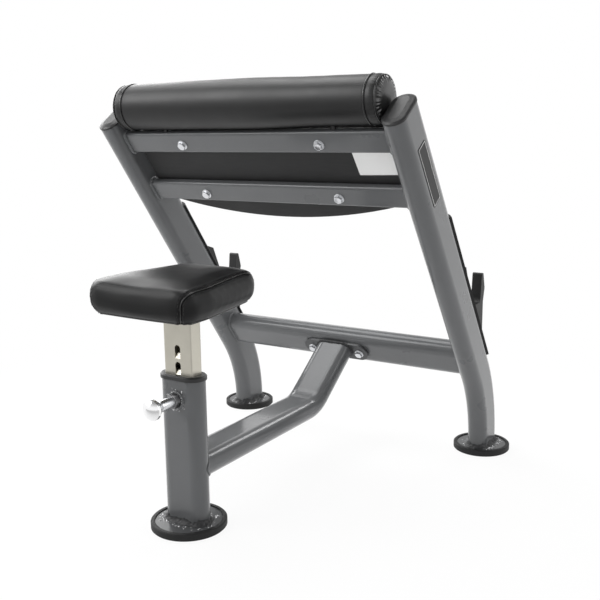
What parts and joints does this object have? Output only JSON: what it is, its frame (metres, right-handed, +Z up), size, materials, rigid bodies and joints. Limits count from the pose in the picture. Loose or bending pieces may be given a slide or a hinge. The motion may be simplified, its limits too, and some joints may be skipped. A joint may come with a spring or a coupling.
{
  "type": "preacher curl bench",
  "caption": "Steel preacher curl bench: leaning uprights carry an arm pad, arm roll and bar hooks, and a strut carries a padded seat on a notched post with a spring plunger.",
  "frame": {"origin": "on the floor, in the middle of the box that the bench fills", "axes": "+Z up, +Y the way the seated user faces, +X to the user's right"},
  "size_m": [0.877, 0.9495, 0.9211],
  "materials": {
    "grey_paint": "satin",
    "black_plastic": "satin",
    "black_rubber": "matte",
    "black_coat": "satin",
    "black_vinyl": "satin",
    "dark_board": "matte",
    "zinc_steel": "satin",
    "satin_nickel": "satin",
    "dark_steel": "satin",
    "bright_chrome": "polished",
    "badge_plate": "satin"
  },
  "bodies": {
    "frame": {"left_upright": "grey_paint", "right_upright": "grey_paint", "left_upright_cap": "black_plastic", "right_upright_cap": "black_plastic", "left_foot_plate": "grey_paint", "right_foot_plate": "grey_paint", "left_foot_cup": "black_rubber", "right_foot_cup": "black_rubber", "left_wear_strip": "black_rubber", "right_wear_strip": "black_rubber", "left_bar_hook": "black_coat", "right_bar_hook": "black_coat", "seat_foot_plate": "grey_paint", "seat_foot_cup": "black_rubber", "cross_beam": "grey_paint", "upper_pad_bar": "grey_paint", "lower_pad_bar": "grey_paint", "arm_pad_board": "dark_board", "arm_pad_cushion": "black_vinyl", "pad_bolts": "zinc_steel", "pad_washers": "zinc_steel", "pad_tee_nuts": "zinc_steel", "arm_roll": "black_vinyl", "roll_core": "zinc_steel", "roll_straps": "black_coat", "side_badge": "badge_plate", "strut_flange": "grey_paint", "seat_strut": "grey_paint", "flange_bolts": "zinc_steel", "flange_washers": "zinc_steel", "flange_nuts": "zinc_steel", "seat_post": "grey_paint", "guide_sleeve": "black_plastic", "plunger_housing": "dark_steel", "plunger_spring": "zinc_steel"},
    "seat": {"inner_post": "satin_nickel", "post_end_plug": "black_plastic", "seat_plate": "black_coat", "seat_board": "dark_board", "seat_cushion": "black_vinyl", "seat_bolts": "zinc_steel", "seat_tee_nuts": "zinc_steel"},
    "plunger": {"plunger_pin": "satin_nickel", "pull_knob": "bright_chrome"}
  },
  "joints": [
    {"name": "seat_slide", "type": "slide", "parent": "frame", "child": "seat", "axis": [0, 0, 1], "range_m": [-0.105, 0.105]},
    {"name": "pin_pull", "type": "slide", "parent": "frame", "child": "plunger", "axis": [0, -1, 0], "range_m": [0, 0.012], "stiffness_N_per_m": 1500, "springref_m": -0.01, "deforming": ["plunger_spring"]}
  ]
}
